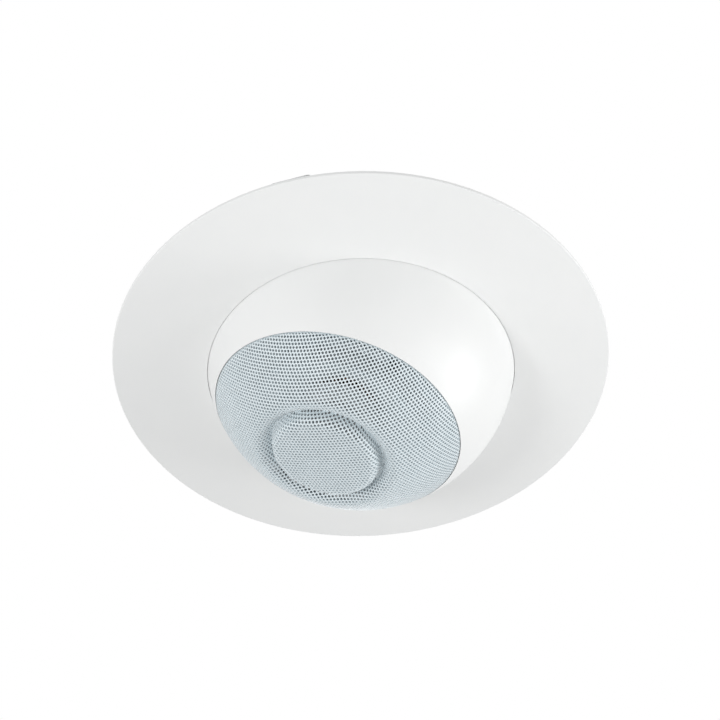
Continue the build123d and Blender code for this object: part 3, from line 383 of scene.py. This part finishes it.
def skin_faces(cell_corners, hole_numbers):
    """Triangles between each cell's corners and its hole."""
    rings = (cell_corners, hole_numbers)
    triangles = [
        np.column_stack([rings[ring][:, number] for ring, number in triangle])
        for triangle in ring_pattern(CELL_SIDES, HOLE_SIDES)
    ]
    return np.vstack(triangles)


def hole_walls(hole_numbers, count):
    """Faces from the holes' corners on the outer skin to those on the inner skin, count places on."""
    ahead = np.roll(hole_numbers, -1, axis=1)
    walls = np.stack([ahead, hole_numbers, hole_numbers + count, ahead + count], axis=-1)
    return walls.reshape(-1, 4)


def skirt(forming, corners, rim, count):
    """Plain skirt below the perforated sheet: a ring of places on both skins, joined at the foot."""
    rim_corners = np.unique(rim)
    turns = np.arctan2(corners[rim_corners, 1], corners[rim_corners, 0])
    foot = np.full(len(turns), forming.section.arc[-1])
    places = [forming.spin(foot, turns, below) for below in (0.0, SHEET_T)]
    outer = np.searchsorted(rim_corners, rim) + 2 * count
    inner = outer + len(turns)
    faces = np.column_stack([rim[:, ::-1], outer]).tolist()
    faces += np.column_stack([rim + count, inner[:, ::-1]]).tolist()
    faces += np.column_stack([outer[:, ::-1], inner]).tolist()
    return np.vstack(places), faces


def perforated_sheet(name, forming, with_skirt):
    """Closed sheet with a round hole through every cell, cut short at the sheet's borders."""
    inner, outer = forming.flat_marks[0], forming.flat_marks[-1]
    cells = lattice_cells(inner, outer)
    corners, cell_corners = shared_corners(cells)
    border = border_edges(cell_corners)
    at_edge = np.hypot(*corners[border[:, 0]].T) > (inner + outer) / 2
    rim = border[at_edge]
    pull_to(corners, np.unique(rim), outer)
    pull_to(corners, np.unique(border[~at_edge]), inner)
    holes = hole_corners(cells, inner, outer)
    flat = np.vstack([corners, holes])
    count = len(flat)
    places = [forming.place(flat, 0.0), forming.place(flat, SHEET_T)]

    hole_numbers = len(corners) + np.arange(len(holes)).reshape(-1, HOLE_SIDES)
    skin = skin_faces(cell_corners, hole_numbers)
    faces = skin.tolist() + (skin[:, ::-1] + count).tolist()
    faces += hole_walls(hole_numbers, count).tolist()

    open_border = border
    if with_skirt:
        open_border = border[~at_edge]
        skirt_places, skirt_faces = skirt(forming, corners, rim, count)
        places.append(skirt_places)
        faces += skirt_faces
    start, end = open_border.T
    faces += np.column_stack([start + count, end + count, end, start]).tolist()
    return mesh_object(name, np.vstack(places), faces)


def make_grille():
    button, dome = cap_formings()
    for name, forming, with_skirt in (("grille_button", button, False), ("grille_dome", dome, True)):
        made = perforated_sheet(name, forming, with_skirt)
        made.data.materials.append(FINISHES["grille_steel"])
        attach(made, "ball")
        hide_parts("grille")


# Foam ring


def make_foam_ring():
    """Ceiling gasket with a softly crowned back, in place of the plain ring."""
    across = np.linspace(-1.0, 1.0, RING_ACROSS)
    half = (RING_OUT_R - RING_IN_R) / 2
    radius = np.concatenate([RING_IN_R + half * (1 + across), [RING_OUT_R, RING_IN_R]])
    height = np.concatenate([-RING_CROWN * across**CROWN_POWER, [-RING_T, -RING_T]])
    turns = 2 * np.pi * np.arange(RING_TURNS)[:, None] / RING_TURNS
    sides = np.broadcast_arrays(radius * np.cos(turns), radius * np.sin(turns), height)
    places = MM * np.stack(sides, axis=-1).reshape(-1, 3)
    here = np.arange(len(places)).reshape(RING_TURNS, -1)
    ahead = np.roll(here, -1, axis=0)
    faces = np.stack([here, ahead, np.roll(ahead, -1, axis=1), np.roll(here, -1, axis=1)], axis=-1)
    made = mesh_object("foam_ring", places, faces.reshape(-1, 4).tolist())
    made.data.materials.append(FINISHES["foam"])
    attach(made, "frame")
    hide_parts("ceiling_gasket")


# Finishes


class Finish:
    """A procedural material built on the object's own coordinates."""

    def __init__(self, slot, metallic=0.0):
        self.slot = slot
        self.material = bpy.data.materials.new(slot)
        self.material.use_nodes = True
        self.tree = self.material.node_tree
        self.shader = self.tree.nodes["Principled BSDF"]
        self.constant("Metallic", metallic)
        self.place = self.tree.nodes.new("ShaderNodeTexCoord").outputs["Object"]

    def constant(self, socket, value):
        """Fix one of the shader's own sockets."""
        self.shader.inputs[socket].default_value = value

    def texture(self, kind, grain, output, **settings):
        """A texture node whose features are about grain millimetres wide."""
        node = self.tree.nodes.new(kind)
        for name, value in settings.items():
            setattr(node, name, value)
        node.inputs["Scale"].default_value = 1 / (grain * MM)
        self.tree.links.new(self.place, node.inputs["Vector"])
        return node.outputs[output]

    def noise(self, grain):
        return self.texture("ShaderNodeTexNoise", grain, "Fac")

    def cells(self, grain):
        return self.texture("ShaderNodeTexVoronoi", grain, "Distance")

    def bands(self, grain, direction):
        """Bands, about three to the grain."""
        return self.texture("ShaderNodeTexWave", grain, "Fac", bands_direction=direction)

    def blend(self, first, second, operation):
        node = self.tree.nodes.new("ShaderNodeMath")
        node.operation = operation
        self.tree.links.new(first, node.inputs[0])
        self.tree.links.new(second, node.inputs[1])
        return node.outputs[0]

    def colour(self, value, dark, pale, low=0.3, high=0.7):
        """Base colour from the first colour at low to the second at high."""
        ramp = self.tree.nodes.new("ShaderNodeValToRGB")
        ramp.color_ramp.elements[0].position = low
        ramp.color_ramp.elements[1].position = high
        ramp.color_ramp.elements[0].color = (*dark, 1)
        ramp.color_ramp.elements[1].color = (*pale, 1)
        self.tree.links.new(value, ramp.inputs["Fac"])
        self.tree.links.new(ramp.outputs["Color"], self.shader.inputs["Base Color"])

    def roughness(self, value, low, high):
        node = self.tree.nodes.new("ShaderNodeMapRange")
        node.inputs["To Min"].default_value = low
        node.inputs["To Max"].default_value = high
        self.tree.links.new(value, node.inputs["Value"])
        self.tree.links.new(node.outputs["Result"], self.shader.inputs["Roughness"])

    def relief(self, value, height):
        """Relief that many millimetres high, or sunk where it is negative."""
        node = self.tree.nodes.new("ShaderNodeBump")
        node.inputs["Distance"].default_value = height * MM
        self.tree.links.new(value, node.inputs["Height"])
        self.tree.links.new(node.outputs["Normal"], self.shader.inputs["Normal"])


def moulding(slot, dark, pale, roughness):
    """Moulded plastic with a fine spark-eroded texture."""
    finish = Finish(slot)
    finish.colour(finish.noise(grain=14.0), dark, pale)
    finish.roughness(finish.noise(grain=5.0), *roughness)
    finish.relief(finish.noise(grain=0.5), height=0.02)
    return finish


def powder_coat(slot, dark, pale):
    """Powder-coated sheet with a slight orange peel, and paler where it is seen at a slant."""
    finish = Finish(slot)
    finish.colour(finish.noise(grain=9.0), dark, pale)
    finish.roughness(finish.noise(grain=3.0), low=0.38, high=0.52)
    finish.relief(finish.noise(grain=0.7), height=0.012)
    finish.constant("Sheen Weight", 0.9)
    finish.constant("Sheen Roughness", 0.35)
    return finish


def plated(slot, dark, pale, roughness):
    """Plated or bare metal with a patchy crystal pattern and a fine grain."""
    finish = Finish(slot, metallic=1.0)
    finish.colour(finish.cells(grain=2.4), dark, pale, low=0.1, high=0.8)
    finish.roughness(finish.noise(grain=1.5), *roughness)
    finish.relief(finish.noise(grain=0.25), height=0.006)
    return finish


def ceramic_body(slot, dark, pale):
    """Pressed and fired body with fine grit."""
    finish = Finish(slot)
    finish.colour(finish.noise(grain=1.2), dark, pale)
    finish.roughness(finish.noise(grain=2.0), low=0.6, high=0.85)
    finish.relief(finish.noise(grain=0.3), height=0.03)
    return finish


def open_cell(slot, dark, pale):
    """Foam: pale cells with painted shade in the sunk pits between them."""
    finish = Finish(slot)
    cells = finish.cells(grain=0.8)
    # Colour darkens where the same cells sink the relief: painted shade in the pits
    finish.colour(cells, pale, dark, low=0.2, high=0.8)
    finish.roughness(finish.noise(grain=1.0), low=0.85, high=0.98)
    finish.relief(cells, height=-0.15)
    return finish


def matted(slot, dark, pale):
    """Felt: matted fibres with a soft sheen, and painted shade where the fibres sink."""
    finish = Finish(slot)
    fibres = finish.blend(finish.noise(grain=0.25), finish.noise(grain=1.6), "MULTIPLY")
    # Colour is darkest where the same fibres sink the relief: painted shade in the hollows
    finish.colour(fibres, dark, pale, low=0.1, high=0.45)
    finish.roughness(finish.noise(grain=0.9), low=0.88, high=0.99)
    finish.constant("Sheen Weight", 0.4)
    finish.relief(fibres, height=0.12)
    return finish


def paper(slot, dark, pale):
    """Pressed pulp: flecked and slightly wavy."""
    finish = Finish(slot)
    finish.colour(finish.noise(grain=0.6), dark, pale)
    finish.roughness(finish.noise(grain=2.5), low=0.7, high=0.92)
    finish.relief(finish.noise(grain=0.35), height=0.06)
    return finish


def woven(slot, dark, pale, grain):
    """Plain weave, about three threads to the grain, with painted shade between the threads."""
    finish = Finish(slot)
    weave = finish.blend(finish.bands(grain, "X"), finish.bands(grain, "Y"), "MULTIPLY")
    # Colour darkens where the same weave sinks the relief: painted shade between the threads
    finish.colour(weave, dark, pale, low=0.05, high=0.8)
    finish.roughness(finish.noise(grain=1.5), low=0.65, high=0.9)
    finish.constant("Sheen Weight", 0.25)
    finish.relief(weave, height=0.08)
    return finish


def winding(slot, dark, pale):
    """Enamelled wire, turn beside turn, with painted shade between the turns."""
    finish = Finish(slot, metallic=0.35)
    turns = finish.bands(grain=8.0, direction="Z")
    # Colour darkens where the same bands sink the relief: painted shade between the turns
    finish.colour(turns, dark, pale, low=0.1, high=0.9)
    finish.roughness(finish.noise(grain=1.0), low=0.25, high=0.42)
    finish.relief(turns, height=0.12)
    return finish


def laminate(slot, dark, pale):
    """Circuit board: solder mask over a faint glass weave."""
    finish = Finish(slot)
    warp = finish.bands(grain=10.0, direction="X")
    weft = finish.bands(grain=10.0, direction="Y")
    finish.colour(finish.noise(grain=6.0), dark, pale)
    finish.roughness(finish.noise(grain=2.0), low=0.3, high=0.45)
    finish.relief(finish.blend(warp, weft, "ADD"), height=0.01)
    return finish


def soft_rubber(slot, dark, pale):
    finish = Finish(slot)
    finish.colour(finish.noise(grain=4.0), dark, pale)
    finish.roughness(finish.noise(grain=1.2), low=0.55, high=0.75)
    finish.relief(finish.noise(grain=0.4), height=0.02)
    return finish


FINISHES = {
    finish.slot: finish.material
    for finish in (
        moulding("white_shell", (0.846, 0.855, 0.852), (0.855, 0.863, 0.859), roughness=(0.36, 0.46)),
        powder_coat("grille_steel", (0.72, 0.80, 0.835), (0.76, 0.835, 0.87)),
        moulding("black_plastic", (0.018, 0.018, 0.02), (0.032, 0.032, 0.036), roughness=(0.35, 0.5)),
        moulding("grey_plastic", (0.56, 0.57, 0.575), (0.62, 0.63, 0.635), roughness=(0.38, 0.5)),
        moulding("red_plastic", (0.42, 0.02, 0.018), (0.52, 0.03, 0.024), roughness=(0.32, 0.45)),
        plated("zinc_steel", (0.52, 0.54, 0.56), (0.74, 0.75, 0.76), roughness=(0.24, 0.42)),
        plated("dark_steel", (0.07, 0.072, 0.078), (0.15, 0.152, 0.16), roughness=(0.3, 0.5)),
        ceramic_body("ferrite", (0.022, 0.022, 0.024), (0.05, 0.05, 0.053)),
        ceramic_body("ceramic", (0.72, 0.70, 0.64), (0.82, 0.80, 0.75)),
        soft_rubber("rubber", (0.36, 0.38, 0.395), (0.43, 0.45, 0.465)),
        open_cell("foam", (0.012, 0.012, 0.013), (0.06, 0.06, 0.063)),
        matted("felt", (0.34, 0.34, 0.35), (0.52, 0.52, 0.53)),
        paper("cone_paper", (0.68, 0.74, 0.77), (0.76, 0.82, 0.85)),
        woven("spider_cloth", (0.35, 0.22, 0.08), (0.62, 0.44, 0.2), grain=7.0),
        woven("silk", (0.24, 0.25, 0.26), (0.34, 0.35, 0.36), grain=3.0),
        winding("copper", (0.6, 0.33, 0.19), (0.84, 0.5, 0.32)),
        plated("brass", (0.55, 0.38, 0.13), (0.75, 0.56, 0.24), roughness=(0.25, 0.4)),
        laminate("board", (0.012, 0.10, 0.035), (0.02, 0.15, 0.05)),
        moulding("film_yellow", (0.62, 0.36, 0.03), (0.75, 0.47, 0.06), roughness=(0.25, 0.38)),
    )
}


def dress_nodes():
    """Give each CAD node its slot's finish."""
    for entry in frame["record"]["subparts"]:
        node = frame["nodes"][entry["node"]]
        node.data.materials.clear()
        node.data.materials.append(FINISHES[entry["material_slot"]])


# Stage


class View:
    """The camera's place, what it aims at, and its own right, up and back directions."""

    def __init__(self):
        middle = Vector((0, 0, RIM_FRONT_Z * MM))
        side = Vector((math.cos(VIEW_AZIMUTH), math.sin(VIEW_AZIMUTH), 0))
        level = Vector((math.sin(VIEW_AZIMUTH), -math.cos(VIEW_AZIMUTH), 0))
        towards = level * math.cos(VIEW_ELEVATION) + UP * math.sin(VIEW_ELEVATION)
        self.place = middle + towards * VIEW_DISTANCE * MM
        self.target = middle + (side * AIM_SIDE + UP * AIM_RISE) * MM
        self.back = (self.place - self.target).normalized()
        right = UP.cross(self.back).normalized()
        up = self.back.cross(right)
        self.right = right * math.cos(VIEW_ROLL) + up * math.sin(VIEW_ROLL)
        self.up = up * math.cos(VIEW_ROLL) - right * math.sin(VIEW_ROLL)


VIEW = View()


def make_camera():
    data = bpy.data.cameras.new("camera")
    data.sensor_width = SENSOR
    data.lens = LENS
    camera = new_object("camera", data)
    turn = Matrix((VIEW.right, VIEW.up, VIEW.back)).transposed().to_4x4()
    camera.matrix_world = Matrix.Translation(VIEW.place) @ turn
    bpy.context.scene.camera = camera


def make_lamp(name, lamp):
    across, above, towards = lamp.direction
    direction = (VIEW.right * across + VIEW.up * above + VIEW.back * towards).normalized()
    data = bpy.data.lights.new(name, "AREA")
    data.size = lamp.size * MM
    data.energy = lamp.power
    made = new_object(name, data)
    made.location = VIEW.target + direction * LAMP_DISTANCE * MM
    made.rotation_euler = direction.to_track_quat("Z", "Y").to_euler()


def seen_directly(tree):
    """Value that is 1 for rays from the camera, in mirrors and through glass."""
    rays = tree.nodes.new("ShaderNodeLightPath")
    value = rays.outputs["Is Camera Ray"]
    for name in ("Is Glossy Ray", "Is Transmission Ray"):
        largest = tree.nodes.new("ShaderNodeMath")
        largest.operation = "MAXIMUM"
        tree.links.new(value, largest.inputs[0])
        tree.links.new(rays.outputs[name], largest.inputs[1])
        value = largest.outputs[0]
    return value


def make_world():
    """White backdrop that lights the object at the ambient level."""
    world = bpy.data.worlds.new("studio")
    bpy.context.scene.world = world
    world.use_nodes = True
    tree = world.node_tree
    background = tree.nodes["Background"]
    background.inputs["Color"].default_value = WHITE
    level = tree.nodes.new("ShaderNodeMapRange")
    level.inputs["To Min"].default_value = AMBIENT
    level.inputs["To Max"].default_value = BACKDROP
    tree.links.new(seen_directly(tree), level.inputs["Value"])
    tree.links.new(level.outputs["Result"], background.inputs["Strength"])


def floor_material():
    """Pale floor that is white where the camera or a mirror sees it."""
    material = bpy.data.materials.new("floor")
    material.use_nodes = True
    tree = material.node_tree
    shader = tree.nodes["Principled BSDF"]
    shader.inputs["Base Color"].default_value = FLOOR_COLOUR
    shader.inputs["Roughness"].default_value = FLOOR_ROUGHNESS
    glow = tree.nodes.new("ShaderNodeEmission")
    mix = tree.nodes.new("ShaderNodeMixShader")
    tree.links.new(seen_directly(tree), mix.inputs["Fac"])
    tree.links.new(shader.outputs["BSDF"], mix.inputs[1])
    tree.links.new(glow.outputs["Emission"], mix.inputs[2])
    tree.links.new(mix.outputs["Shader"], tree.nodes["Material Output"].inputs["Surface"])
    return material


def make_floor():
    """Plain floor far below the ceiling."""
    half = FLOOR_SIZE / 2 * MM
    mesh = bpy.data.meshes.new("floor")
    corners = [(-half, -half, 0), (half, -half, 0), (half, half, 0), (-half, half, 0)]
    mesh.from_pydata(corners, [], [(0, 1, 2, 3)])
    mesh.materials.append(floor_material())
    floor = new_object("floor", mesh)
    floor.location.z = FLOOR_Z * MM


dress_nodes()
make_grille()
make_foam_ring()
make_camera()
make_world()
make_floor()
for lamp_name, lamp_sizes in LAMPS.items():
    make_lamp(lamp_name, lamp_sizes)
bpy.context.scene.view_settings.view_transform = "Standard"
